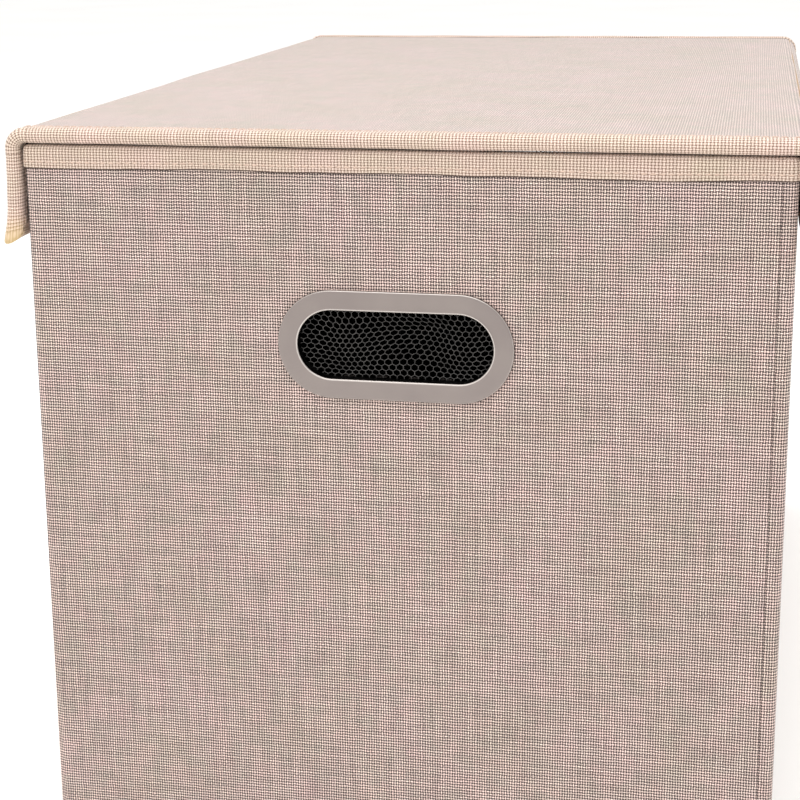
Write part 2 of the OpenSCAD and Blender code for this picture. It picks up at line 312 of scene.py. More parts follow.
def satin_nickel():
    """Zinc casting, nickel plated and satin brushed: warm grey metal with a soft reflection and fine scratches along
    its length. Its bead and outer edge carry a painted highlight, and the collar's inside is darkened with painted
    shade."""
    material, tree, shader = start_material("satin_nickel_plate")
    where = add(tree, "TexCoord", {}, out="Object")
    lines = add(tree, "Mapping", {"Vector": where, "Scale": (40, 900, 900)})
    scratch = add(tree, "TexNoise", {"Vector": lines, "Scale": 6.0, "Detail": 4.0, "Roughness": 0.6})
    cloud = add(tree, "TexNoise", {"Vector": where, "Scale": 60.0})
    colour = add(tree, "ValToRGB", {"Fac": cloud}, stops=((0.3, "#877E7B"), (0.7, "#8D8480")))
    # Painted highlight on the bead and the outer edge, and painted shade on the collar's inside
    for name, code in (("painted_highlight", "#E6E0DA"), ("painted_shade", "#0B0A0A")):
        amount = add(tree, "Attribute", {}, attribute_name=name, out="Fac")
        colour = add(tree, "Mix", {0: amount, 6: colour, 7: shade(code)}, data_type="RGBA", out=2)
    dress(tree, shader, colour, scratch, 0.12, 0.05, 0.4, Metallic=1.0)
    rough = add(tree, "MapRange", {"Value": scratch, "To Min": 0.34, "To Max": 0.46})
    tree.links.new(rough, shader.inputs["Roughness"])
    return material


def knitted_net():
    """Black polyester knitted net: round smooth yarn, so each mesh shows thin grey highlights on black."""
    material, tree, shader = start_material("polyester_knitted_net")
    where = add(tree, "TexCoord", {}, out="Object")
    fuzz = add(tree, "TexNoise", {"Vector": where, "Scale": 900.0})
    colour = add(tree, "ValToRGB", {"Fac": fuzz}, stops=((0.35, "#2E2C2B"), (0.65, "#4C4947")))
    dress(tree, shader, colour, fuzz, 0.2, 0.05, 0.45)
    return material


def pressed_board():
    """Pressed grey-brown fibre board: flat and matt, with small flecks of pulp."""
    material, tree, shader = start_material("pressed_grey_board")
    where = add(tree, "TexCoord", {}, out="Object")
    fleck = add(tree, "TexNoise", {"Vector": where, "Scale": 700.0, "Detail": 5.0, "Roughness": 0.75})
    colour = add(tree, "ValToRGB", {"Fac": fleck}, stops=((0.35, "#8B7359"), (0.6, "#A98C6B")))
    dress(tree, shader, colour, fleck, 0.3, 0.1, 0.9)
    return material


def sewing_thread():
    """Spun polyester thread in the tape's cream: a little glossier than the tape, so the stitches catch the light."""
    material, tree, shader = start_material("spun_polyester_thread")
    where = add(tree, "TexCoord", {}, out="Object")
    twist = add(tree, "TexNoise", {"Vector": where, "Scale": 1500.0})
    colour = add(tree, "ValToRGB", {"Fac": twist}, stops=((0.3, "#B0988A"), (0.7, "#CBB2A1")))
    dress(tree, shader, colour, twist, 0.3, 0.05, 0.55)
    return material


LINEN, TAPE, LINING = linen_look_polyester(), canvas_tape(), nonwoven_lining()
NICKEL, NET, BOARD, THREAD = satin_nickel(), knitted_net(), pressed_board(), sewing_thread()


# ---------------------------------------------------------------- meshes from arrays

def mesh_piece(name, points, faces, material, sharp=50, outward=False, **layers):
    """A piece from points in millimetres and a list of faces. Edges sharper than the angle stay sharp. Each layer is
    one number or one pair for every point, kept as an attribute, pairs in metres. A shell whose faces aren't all
    outward yet has its doubles merged and its faces turned."""
    mesh = bpy.data.meshes.new(name)
    mesh.from_pydata((np.asarray(points) * MM).tolist(), [], [list(map(int, f)) for f in faces])
    for key, values in layers.items():
        values = np.asarray(values, dtype=float)
        if values.ndim == 2:
            flat = np.zeros((len(points), 3), np.float32)
            flat[:, :2] = values * MM
            mesh.attributes.new(key, "FLOAT_VECTOR", "POINT").data.foreach_set("vector", flat.ravel())
        else:
            mesh.attributes.new(key, "FLOAT", "POINT").data.foreach_set("value", values.astype(np.float32))
    if outward:
        work = bmesh.new()
        work.from_mesh(mesh)
        bmesh.ops.remove_doubles(work, verts=work.verts, dist=1e-7)
        bmesh.ops.recalc_face_normals(work, faces=work.faces)
        work.to_mesh(mesh)
        work.free()
    mesh.polygons.foreach_set("use_smooth", np.full(len(mesh.polygons), True))
    mesh.set_sharp_from_angle(angle=math.radians(sharp))
    mesh.update()
    mesh.materials.append(material)
    piece = bpy.data.objects.new(name, mesh)
    bpy.context.scene.collection.objects.link(piece)
    return piece


def grid_faces(rows, columns, wrap_rows=False, wrap_columns=False):
    """Quads over a rows by columns grid of points, joined round where a direction wraps."""
    r = np.arange(rows if wrap_rows else rows - 1)[:, None]
    c = np.arange(columns if wrap_columns else columns - 1)[None, :]
    r2, c2 = (r + 1) % rows, (c + 1) % columns
    return np.stack([r * columns + c, r * columns + c2, r2 * columns + c2, r2 * columns + c], -1).reshape(-1, 4)


def slopes(points, axis, wrap):
    """Central differences of a grid of points along an axis, one-sided at an open end."""
    if not wrap:
        return np.gradient(points, axis=axis)
    return (np.roll(points, -1, axis) - np.roll(points, 1, axis)) / 2


def cloth_piece(name, face, material, cloth, thick, wrap_rows=False, wrap_columns=False, flip=False, **layers):
    """A closed sheet. Its face is a grid of points; its back lies a thickness behind each point along the normal,
    which is the cross product of the grid's two slopes; strips join the open edges."""
    rows, columns = face.shape[:2]
    normal = np.cross(slopes(face, 1, wrap_columns), slopes(face, 0, wrap_rows))
    normal = normal / np.maximum(np.linalg.norm(normal, axis=-1, keepdims=True), 1e-9) * (-1 if flip else 1)
    number = np.arange(rows * columns).reshape(rows, columns)
    front = grid_faces(rows, columns, wrap_rows, wrap_columns)
    edges = []
    if not wrap_rows:
        edges += [number[0], number[-1][::-1]]
    if not wrap_columns:
        edges += [number[:, 0][::-1], number[:, -1]]
    looped = wrap_rows or wrap_columns
    edges = [np.append(e, e[0]) if looped else e for e in edges]
    rims = [np.stack([e[1:], e[:-1], e[:-1] + number.size, e[1:] + number.size], -1) for e in edges]
    faces = np.concatenate([front, front[:, ::-1] + number.size, *rims])
    twice = {key: np.concatenate([np.asarray(v).reshape(number.size, *np.shape(v)[2:])] * 2)
             for key, v in {"cloth": cloth, **layers}.items()}
    points = np.concatenate([face.reshape(-1, 3), (face - thick * normal).reshape(-1, 3)])
    return mesh_piece(name, points, faces[:, ::-1] if flip else faces, material, **twice)


def carry(piece, rides):
    """Makes a piece ride one body. Where rides is two bodies with a start and an end, the piece's transform is only
    baked in.
    """
    if isinstance(rides, str):
        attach(piece, rides)
    else:
        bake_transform(piece)


def settle(piece, nodes, rides):
    """Hides the CAD nodes that a piece stands for and makes the piece ride what it rides."""
    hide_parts(*nodes)
    carry(piece, rides)


def runs(line):
    """Length along a line of points, at each point."""
    return np.concatenate([[0.0], np.cumsum(np.linalg.norm(np.diff(line, axis=0), axis=1))])


def ripple(a, b, seed, longest=260.0, shortest=60.0, waves=7):
    """A smooth uneven height of about -1 to 1 over two coordinates in millimetres: a sum of sine waves with seeded
    directions and phases, lower as they get shorter."""
    dice = np.random.default_rng(seed)
    total = np.zeros(np.broadcast(a, b).shape)
    for k in range(waves):
        length = longest * (shortest / longest) ** (k / (waves - 1))
        turn, phase = dice.uniform(0, math.pi), dice.uniform(0, 2 * math.pi)
        total = total + (length / longest) ** 0.7 * np.sin(
            2 * math.pi * (a * math.cos(turn) + b * math.sin(turn)) / length + phase)
    return total / 2.2


def roll_in(distance, radius):
    """How far a surface has dropped at a distance from its edge, along a quarter circle of a radius."""
    t = np.clip(1 - distance / radius, 0, 1)
    return radius * (1 - np.sqrt(1 - t * t))


def arc(centre, radius, start, end, count):
    """Points along a circle's arc in a plane, angles in degrees."""
    t = np.radians(np.linspace(start, end, count))
    return np.stack([centre[0] + radius * np.cos(t), centre[1] + radius * np.sin(t)], -1)


def crowded(low, high, count, edges=()):
    """Evenly spaced numbers from low to high, with extra ones at the given distances from both ends."""
    edges = np.asarray(edges, float)
    inset = edges[-1] if len(edges) else 0.0
    middle = np.linspace(low + inset, high - inset, count)
    return np.concatenate([low + edges[:-1], middle, (high - edges[:-1])[::-1]])


ROLLED = (0, 0.15, 0.45, 0.9, 1.6, 3.0)


# ---------------------------------------------------------------- the walls' cloth

def oval_reach(angle, w, h):
    """Distance from the middle of an oval with straight sides to its edge, at an angle: to the straight side where
    the ray meets it, and else to the end's circle."""
    half, r = (w - h) / 2, h / 2
    c, s = np.abs(np.cos(angle)), np.abs(np.sin(angle))
    flat = r / np.maximum(s, 1e-9)
    return np.where(flat * c <= half, flat, half * c + np.sqrt(np.maximum(r * r - (half * s) ** 2, 0)))


def panel_with_oval(left, right, low, high, w, h, step, count):
    """X and height of a grid between an oval hole round RING_Z and a rectangle. Each row lies on a ray from the hole's
    middle to a point of the rectangle, its corners among them, and crowds near the rectangle."""
    across = np.linspace(left, right, round((right - left) / step) + 1)[:-1]
    rise = np.linspace(low, high, round((high - low) / step) + 1)[:-1]
    outline = np.concatenate([
        np.stack([across, 0 * across + low], -1),
        np.stack([0 * rise + right, rise], -1),
        np.stack([left + right - across, 0 * across + high], -1),
        np.stack([0 * rise + left, high + low - rise], -1),
    ])
    away = outline - [0, RING_Z]
    far = np.linalg.norm(away, axis=1)[:, None]
    near = oval_reach(np.arctan2(away[:, 1], away[:, 0]), w, h)[:, None]
    t = np.linspace(0, 1, count)[None]
    reach = np.concatenate([near + (far - 3 - near) * t, far - np.array([ROLLED[4::-1]])], 1)
    return (away / far)[:, None] * reach[..., None] + [0, RING_Z]


def wall(turn, half, away, run, z, bow):
    """A point on a wall's cloth. The run goes to the right as seen from outside, from the wall's middle; before its
    left-hand corner it is straight, then it goes round the corner's quarter circle and on along the next wall. The bow
    is measured outwards. The whole is turned about the upright axis, by 0 degrees for the front."""
    past = np.maximum(CORNER_R - half - run, 0)
    angle = np.minimum(past / CORNER_R, math.pi / 2)
    across = np.maximum(run, CORNER_R - half) - (CORNER_R + bow) * np.sin(angle)
    out = away - CORNER_R + (CORNER_R + bow) * np.cos(angle) - np.maximum(past - CORNER_R * math.pi / 2, 0)
    c, s = math.cos(math.radians(turn)), math.sin(math.radians(turn))
    return np.stack(np.broadcast_arrays(across * c + out * s, across * s - out * c, z), -1)


def wall_run(half):
    """Where a wall's cloth begins, on the next wall past its left-hand corner, and where it ends."""
    return 2 * CORNER_R - half - SEAM_IN - CORNER_R * math.pi / 2, half - SEAM_IN


def end_cloth(side):
    """Linen over one short end and round its left-hand corner, stretched over the board: almost flat, turned in at the
    seams and the bottom, and pressed in a little under the ring."""
    begin, end = wall_run(HALF_W)
    flat = panel_with_oval(begin, end, CLOTH_LOW, CLOTH_HIGH, CUT_W, CUT_H, 3.0, 46)
    run, z = flat[..., 0], flat[..., 1]
    from_ring = np.hypot(np.maximum(np.abs(run) - (RING_W - RING_H) / 2, 0), z - RING_Z) - RING_H / 2
    free = np.clip((end - np.abs(run)) / 30, 0, 1) * np.clip((CLOTH_HIGH - z) / 30, 0, 1)
    drop = roll_in(np.minimum(end - run, run - begin), 0.5) + roll_in(z - CLOTH_LOW, 1.4)
    drop = drop + 0.35 * np.exp(-np.maximum(from_ring, 0) / 6)
    bow = 0.35 * free * np.clip(from_ring / 12, 0, 1) * ripple(run, z, 11 + side) - drop
    name = "front_cover" if side == FRONT else "back_cover"
    points = wall(0 if side == FRONT else 180, HALF_W, HALF_L, run, z, bow)
    piece = cloth_piece(name + "_linen", points, LINEN, flat, 0.9, wrap_rows=True, soft=0 * run)
    settle(piece, [name], "bin")


def side_cloth(side):
    """Linen over one long side and round its left-hand corner; between the corners it bows out a little."""
    begin, end = wall_run(HALF_L)
    turned = np.linspace(begin + 1.6, CORNER_R - HALF_L, 12)
    run = np.concatenate([begin + np.array(ROLLED[:4]), turned, np.linspace(CORNER_R - HALF_L, end - 1.6, 110)[1:],
                          end - np.array(ROLLED[3::-1])])[None]
    z = crowded(CLOTH_LOW, CLOTH_HIGH, 56, ROLLED)[:, None]
    free = np.clip((end - np.abs(run)) / 60, 0, 1) * np.sin(math.pi * np.clip(z / CLOTH_HIGH, 0, 1))
    bow = free * (0.8 + 0.45 * ripple(run, z, 31 + side)) - roll_in(z - CLOTH_LOW, 1.4)
    bow = bow - roll_in(np.minimum(end - run, run - begin), 0.5)
    points = wall(90 * side, HALF_L, HALF_W, run, z, bow)
    cloth = np.stack(np.broadcast_arrays(run + 700 * side, points[..., 2]), -1)
    name = "left_cover" if side == LEFT else "right_cover"
    piece = cloth_piece(name + "_linen", points, LINEN, cloth, 0.9, soft=0 * points[..., 0])
    settle(piece, [name], "bin")


def rounded_panel(half_w, half_l, r, count):
    """Plan of a rectangle's grid with round corners, and each point's distance from the edge. Inside a corner's square
    a point is drawn towards the corner's middle by its larger offset over its distance, so squares become circles."""
    edges = [e for e in ROLLED if e < r] + [r]
    x = crowded(-half_w, half_w, count, edges)[None]
    y = crowded(-half_l, half_l, round(count * 1.6), edges)[:, None]
    dx, dy = np.maximum(np.abs(x) - half_w + r, 0) + 0 * y, np.maximum(np.abs(y) - half_l + r, 0) + 0 * x
    pull = np.where(np.minimum(dx, dy) > 0, np.maximum(dx, dy) / np.maximum(np.hypot(dx, dy), 1e-9), 1.0)
    plan = np.stack([np.sign(x) * (np.abs(x) - dx + dx * pull), np.sign(y) * (np.abs(y) - dy + dy * pull)], -1)
    return plan, np.minimum(half_w - np.abs(x), half_l - np.abs(y))


def bottom_cloth():
    """Linen under the bin: a flat rectangle with round corners, whose edge rolls up to meet the walls."""
    plan, inset = rounded_panel(HALF_W - 0.4, HALF_L - 0.4, CORNER_R - 0.4, 50)
    points = np.concatenate([plan, roll_in(inset, 1.0)[..., None]], -1)
    piece = cloth_piece("bottom_cover_linen", points, LINEN, plan + [0, 900], 0.6, flip=True)
    settle(piece, ["bottom_cover"], "bin")


# ---------------------------------------------------------------- the rim's tape

def rounded_loop(half_w, half_l, r, step=5.0, corner=8):
    """Plan points round a rectangle with round corners, from the middle of the front end through the right side. Every
    loop has the same number of points, so that loops of different sizes join into a strip."""
    nx, ny = round((HALF_W - CORNER_R) / step), 2 * round((HALF_L - CORNER_R) / step)
    ex, ey = half_w - r, half_l - r
    front = np.stack([np.linspace(0, ex, nx + 1)[:-1], np.full(nx, -half_l)], -1)
    east = np.stack([np.full(ny - 1, half_w), np.linspace(-ey, ey, ny + 1)[1:-1]], -1)
    north = np.stack([np.linspace(ex, -ex, 2 * nx + 1)[1:-1], np.full(2 * nx - 1, half_l)], -1)
    turns = [arc((sx * ex, sy * ey), r, a, a + 90, corner)
             for sx, sy, a in ((1, -1, -90), (1, 1, 0), (-1, 1, 90), (-1, -1, 180))]
    return np.concatenate([front, turns[0], east, turns[1], north, turns[2], east[::-1] * [-1, 1], turns[3],
                           front[1:][::-1] * [-1, 1]])


def joined(loop, back=15):
    """The loop begun some points earlier, on the front end, with one more point just short of its start, so that the
    tape's pattern runs up to its join."""
    loop = np.roll(loop, back, 0)
    return np.append(loop, 0.02 * loop[-1:] + 0.98 * loop[:1], 0)


def stitch_row(name, places, along, outward, length=2.5, across=0.62, high=0.3):
    """A row of stitches as one piece. Each is a small bent capsule: rings of six points along a stitch, thin at both
    ends where the thread dives into the cloth."""
    turn = np.radians(np.arange(0, 360, 60))
    shape = np.array([[-0.5, 0.15], [-0.42, 0.75], [-0.15, 1.0], [0.15, 1.0], [0.42, 0.75], [0.5, 0.15]])
    along = along / np.linalg.norm(along, axis=1, keepdims=True)
    outward = outward / np.linalg.norm(outward, axis=1, keepdims=True)
    beside = np.cross(outward, along)
    t, size = shape[:, 0][:, None], shape[:, 1][:, None]
    local = np.stack([t * length + 0 * turn, np.cos(turn) * size * across / 2,
                      np.sin(turn) * size * high + size * 0.12 - 0.14], -1)
    points = (places[:, None, None] + local[None, ..., :1] * along[:, None, None]
              + local[None, ..., 1:2] * beside[:, None, None] + local[None, ..., 2:] * outward[:, None, None])
    count = len(shape) * len(turn)
    body = grid_faces(len(shape), len(turn), wrap_columns=True)
    caps = np.array([[0, 1, 2, 3], [0, 3, 4, 5]])
    caps = np.concatenate([caps, (caps + count - len(turn))[:, ::-1]])
    faces = (np.concatenate([body, caps])[None] + (np.arange(len(places)) * count)[:, None, None]).reshape(-1, 4)
    piece = mesh_piece(name, points.reshape(-1, 3), faces, THREAD, outward=True)
    return piece


def rim_tape():
    """Canvas tape folded over the top of the walls. Its section goes up the outside, over the top in a soft curve and
    down the inside; both edges are turned under. Below the outer edge, which waves a little as sewn tape does, a strip
    a thread wide is painted deep brown as the shadow under the tape, and the rest of the tape is darkened a little
    with the same brown. Its end laps over its beginning on the front."""
    out = rim_high[0] - HALF_W
    low, top = rim_low[2], rim_high[2]
    inside = HALF_W - side_lining_low[0] + out
    end_inside = HALF_L + end_lining_high[1] + out
    # The first three points make the thin strip below the outer edge that carries the painted shadow line
    outer = [[0.05, low - 0.5], [0.3, low - 0.45], [0.4, low + 0.1], [out, low], [out * 1.2, low + 0.5],
             [out * 1.2, low + 1.4], [out * 1.1, low + 2.2], [out * 1.15, (low + top) / 2], [out, top - 2.6],
             [out * 0.75, top - 1.6], [0.0, top - 0.8], [-1.0, top - 0.25], [-2.0, top]]
    inner = [[-inside / 2, top], [1.0 - inside, top - 0.05], [0.2 - inside, top - 0.5], [-inside, top - 1.4],
             [-inside - 0.1, (low + top) / 2], [0.1 - inside, low + 2.2], [-inside, low + 1.0], [0.2 - inside, low],
             [0.7 - inside, low + 0.6]]
    section = np.array(outer + inner)
    stretch = np.where(section[:, 0] < -1, end_inside / inside, 1.0)
    loops = np.array([joined(rounded_loop(HALF_W + o, HALF_L + o * k, max(CORNER_R + o, 0.6)))
                      for (o, _), k in zip(section, stretch)])
    middle = joined(rounded_loop(HALF_W, HALF_L, CORNER_R))
    whole = runs(np.append(middle, middle[:1], 0))
    loops[:11, whole[:-1] < 9, 1] -= 0.35
    turn = 2 * math.pi * whole[:-1] / whole[-1]
    wave = sum(a * np.sin(n * turn + p) for a, n, p in
               ((0.28, 7, 0.4), (0.22, 13, 2.1), (0.16, 23, 1.2), (0.1, 41, 0.3), (0.07, 67, 2.2)))
    hang = np.clip(1 - (section[:, 1] - low) / 5.0, 0, 1)[:, None]
    z = section[:, 1][:, None] + hang * wave[None]
    points = np.concatenate([loops, z[..., None]], -1)
    across = runs(section)
    cloth = np.stack(np.broadcast_arrays(whole[None, :-1], across[:, None]), -1)
    # Painted shade: the first three rows, the strip below the outer edge, are painted deep brown as the shadow under
    # the tape, and every other row is darkened a little by the same brown
    raw = np.array([1, 1, 0.9] + [0.11] * (len(section) - 3))[:, None] + 0 * z
    piece = cloth_piece("rim_tape_canvas", points, TAPE, cloth, 0.35, wrap_columns=True, worn=0 * z, raw=raw)
    settle(piece, ["rim_tape"], "bin")
    for name, row, facing in (("rim_outer_stitches", 6, 1), ("rim_inner_stitches", 18, -1)):
        line = np.append(points[row], points[row][:1], 0)
        run = runs(line)
        spot = np.arange(2, run[-1] - 2, 3.3)
        place = np.stack([np.interp(spot, run, line[:, k]) for k in range(3)], -1)
        onward = np.stack([np.interp(spot + 0.4, run, line[:, k]) for k in range(3)], -1) - place
        carry(stitch_row(name, place, onward, facing * np.cross(onward, [0, 0, 1])), "bin")


# ---------------------------------------------------------------- lining and insert

def end_lining(side):
    """Lining inside one short end, with the hole that the backing ring covers."""
    half = end_lining_high[0]
    flat = panel_with_oval(0.1 - half, half - 0.1, end_lining_low[2], end_lining_high[2], CUT_W, CUT_H, 8.0, 14)
    x, z = flat[..., 0], flat[..., 1]
    free = np.clip((np.hypot(x, z - RING_Z) - 60) / 40, 0, 1) * np.clip((half - np.abs(x)) / 15, 0, 1)
    y = side * (-end_lining_high[1] - 0.25 * free * (1 + ripple(x, z, 51 + side)))
    name = "front_lining" if side == FRONT else "back_lining"
    piece = cloth_piece(name + "_nonwoven", np.stack([x, y, z], -1), LINING, flat, 0.7, wrap_rows=True,
                        flip=side == FRONT)
    settle(piece, [name], "bin")


def side_lining(side):
    """Lining inside one long side."""
    y = np.linspace(side_lining_low[1], side_lining_high[1], 60)[None, :]
    z = np.linspace(side_lining_low[2], side_lining_high[2], 36)[:, None]
    free = np.clip((side_lining_high[1] - np.abs(y)) / 20, 0, 1)
    x = side * (side_lining_low[0] - 0.3 * free * (1 + ripple(y, z, 61 + side)))
    points = np.stack(np.broadcast_arrays(x, y, z), -1)
    name = "left_lining" if side == LEFT else "right_lining"
    piece = cloth_piece(name + "_nonwoven", points, LINING, points[..., 1:], 0.7, flip=side == RIGHT)
    settle(piece, [name], "bin")


def floor_lining():
    """Lining on the floor of the bin, under the insert."""
    x = np.linspace(floor_low[0], floor_high[0], 30)[None, :]
    y = np.linspace(floor_low[1], floor_high[1], 50)[:, None]
    points = np.stack(np.broadcast_arrays(x, y, floor_high[2] + 0 * x), -1)
    piece = cloth_piece("floor_lining_nonwoven", points, LINING, points[..., :2], 0.6)
    settle(piece, ["floor_lining"], "bin")


def bottom_insert():
    """The loose bottom insert's cover: lining cloth glued tight round a board. Its top and its underside are one plan
    with half a circle between them at the edge; a wall as thick as the cloth leaves the board's space inside."""
    half, middle = (insert_high - insert_low) / 2, (insert_high + insert_low) / 2
    plan, inset = rounded_panel(half[0], half[1], 3.5, 30)
    rise = half[2] - roll_in(inset, half[2])
    sheets = [np.concatenate([plan, (middle[2] + way * rise)[..., None]], -1).reshape(-1, 3) for way in (1, -1)]
    quads = grid_faces(*inset.shape)
    cloth = [plan.reshape(-1, 2) + [0, 1500 + 600 * way] for way in (1, -1)]
    piece = mesh_piece("insert_wrap_nonwoven", np.concatenate(sheets), [*quads, *(quads[:, ::-1] + inset.size)],
                       LINING, outward=True, cloth=np.concatenate(cloth))
    wall = piece.modifiers.new("cloth", "SOLIDIFY")
    wall.thickness, wall.offset = 0.35 * MM, -1
    settle(piece, ["insert_wrap"], "insert")


# ---------------------------------------------------------------- rings and nets

def swept_round_hole(section, side):
    """A closed section, given as distance out from the hole's edge and depth into the wall, carried round the hole:
    straight, half circle, straight, half circle."""
    half, r = (HOLE_W - HOLE_H) / 2, HOLE_H / 2
    lower = np.stack([np.linspace(-half, half, 15)[:-1], np.full(14, -r)], -1)
    end = arc((half, 0), r, -90, 90, 29)[:-1]
    edge = np.concatenate([lower, end, -lower, -end])
    out = edge - np.stack([np.clip(edge[:, 0], -half, half), 0 * edge[:, 0]], -1)
    flat = edge[None] + out[None] / r * section[:, None, :1]
    return np.stack([flat[..., 0], side * (HALF_L - section[:, 1][:, None] + 0 * flat[..., 0]),
                     flat[..., 1] + RING_Z], -1)


def metal_ring(side):
    """The hand hole's ring: a flat face with a soft outer edge, a small bead rolled into the hole, a collar through
    the wall, and eight tabs bent over the backing ring."""
    width, face = (RING_W - HOLE_W) / 2, -RING_PROUD
    section = np.concatenate([
        [[0.0, NET_DEPTH], [0.0, 1.5]],
        arc((0.6, face + 0.5), 0.6, 180, 300, 8),
        [[1.3, face + 0.02], [width / 2, face], [width - 1.4, face]],
        arc((width - 0.6, face + 0.6), 0.6, 270, 360, 6),
        [[width, 0.2], [width - 0.3, 0.35], [COLLAR, 0.35], [COLLAR, NET_DEPTH]],
    ])
    shell = swept_round_hole(section, side)
    rows, columns = shell.shape[:2]
    painted_highlight, painted_shade = np.zeros(rows), np.zeros(rows)
    # Painted highlight on rows of the bead and of the outer edge's round; painted shade on the collar's inside wall
    painted_highlight[5:8], painted_highlight[15:18], painted_shade[:3] = 0.5, 0.4, 1
    points, faces, count = [shell.reshape(-1, 3)], grid_faces(rows, columns, True, True).tolist(), rows * columns
    tab = np.array([[0.0, NET_DEPTH - 0.5], [0.0, RING_DEPTH - 0.7], [0.12, RING_DEPTH - 0.2], [0.6, RING_DEPTH],
                    [4.0, RING_DEPTH], [4.0, RING_DEPTH - COLLAR], [1.1, RING_DEPTH - COLLAR],
                    [COLLAR, RING_DEPTH - 1.3], [COLLAR, NET_DEPTH - 0.5]])
    for middle in (-19.5, -6.5, 6.5, 19.5):
        for way in (-1, 1):
            x = middle + np.array([[-2.0, 2.0]]) + 0 * tab[:, :1]
            z = RING_Z + way * (HOLE_H / 2 + tab[:, :1]) + 0 * x
            y = side * (HALF_L - tab[:, 1:]) + 0 * x
            points.append(np.stack([x, y, z], -1).reshape(-1, 3))
            faces += (grid_faces(len(tab), 2, wrap_rows=True) + count).tolist()
            faces += [list(range(count, count + 18, 2)), list(range(count + 17, count, -2))]
            count += 18
    name = "front_ring" if side == FRONT else "back_ring"
    # The painted highlight and painted shade for every point, none on the tabs
    finish = {key: np.pad(np.repeat(values, columns), (0, count - rows * columns))
              for key, values in (("painted_highlight", painted_highlight), ("painted_shade", painted_shade))}
    piece = mesh_piece(name + "_nickel", np.concatenate(points), faces, NICKEL, sharp=40, outward=True, **finish)
    settle(piece, [name], "bin")


def slack_net(side):
    """Knitted net behind the hole: a honeycomb of threads held all round under the backing ring, slack in between, so
    it hangs inwards in a shallow pocket with a few soft folds. Corners of the cells are numbered on a lattice of half
    cells across and thirds of a row up, so neighbours share them."""
    pitch, row_high, short = 2.8, 1.95, 0.6
    across, high = int((net_high[0] - 2) / pitch), int((net_high[2] - RING_Z - 1) / row_high)
    i, j = np.meshgrid(np.arange(-across, across + 1), np.arange(-high, high + 1))
    kx = (2 * i + j % 2).ravel()[:, None] + np.array([[0, 1, 1, 0, -1, -1]])
    kz = 3 * j.ravel()[:, None] + np.array([[2, 1, -1, -2, -1, 1]])
    keys, cells = np.unique(np.stack([kx.ravel(), kz.ravel()], -1), axis=0, return_inverse=True)
    row = np.round(keys[:, 1] / 3)
    x, z = keys[:, 0] * pitch / 2, row * row_high + short * (keys[:, 1] - 3 * row)
    slack = np.clip((oval_reach(np.arctan2(z, x), HOLE_W, HOLE_H) - np.hypot(x, z)) / 10.0, 0, 1)
    folds = np.sin(x / 9.0 + z / 14.0 + 0.8) + 0.6 * np.sin(-x / 15.0 + z / 6.0 + 2.0)
    depth = NET_DEPTH + 0.2 + slack * (3.4 + 1.7 * folds)
    across_pull = 1.1 * np.sin(z / 5) + 0.9 * np.sin(x / 6.5 + z / 9)
    points = np.stack([x + slack * across_pull, side * (HALF_L - depth),
                       z + RING_Z + slack * (0.8 * np.sin(x / 8 + 1) - 1.0)], -1)
    name = "front_net" if side == FRONT else "back_net"
    piece = mesh_piece(name + "_knitted", points, cells.reshape(-1, 6)[:, ::side], NET, sharp=180)
    threads = piece.modifiers.new("threads", "WIREFRAME")
    threads.thickness = 0.42 * MM
    threads.use_boundary = True
    settle(piece, [name], "bin")


# ---------------------------------------------------------------- the lid and its flaps

def saddle(s, y, height):
    """A point on the lid and its flaps. s runs from the middle of the lid along the middle surface, level to the fold,
    round its quarter circle and down the flap, to the right where positive; height is measured off that surface. The
    flap flares outwards with the square of the run down it."""
    a = np.abs(s)
    turn = np.clip((a - FOLD_X) / FOLD_R, 0, math.pi / 2)
    down = np.maximum(a - FOLD_X - QUARTER, 0)
    x = np.minimum(a, FOLD_X) + (FOLD_R + height) * np.sin(turn) + FLARE * (down / 40) ** 2
    z = FOLD_Z + (FOLD_R + height) * np.cos(turn) - down
    return np.stack(np.broadcast_arrays(np.sign(s) * x, y, z), -1)


def saddle_cloth(name, s, material, nodes, rides):
    """Cloth or lining over part of the lid, a fold or a flap, between two runs s and reaching under the edge tapes."""
    under = material is LINING
    y = np.linspace(0.4 - ROLL_Y, ROLL_Y - 0.4, 110)[:, None]
    free = np.clip((ROLL_Y - np.abs(y)) / 25, 0, 1)
    unevenness = 0.22 * free * ripple(s[None], y, 71, longest=300, shortest=80)
    points = saddle(s[None], y, (UNDER if under else FACE) + unevenness)
    cloth = np.stack(np.broadcast_arrays(s[None], y + (700 if under else 0)), -1)
    soft = 0.5 + 0 * s[None] + 0 * y
    piece = cloth_piece(name, points, material, cloth, 0.7 if under else 0.8, flip=under, soft=soft)
    # A lining's cut is taken on the middle surface, since the fold's own inner run is under the least that fits
    width = abs(s[-1] - s[0]) if under else runs(saddle(s, 0 * s, FACE))[-1]
    settle(piece, nodes, rides)


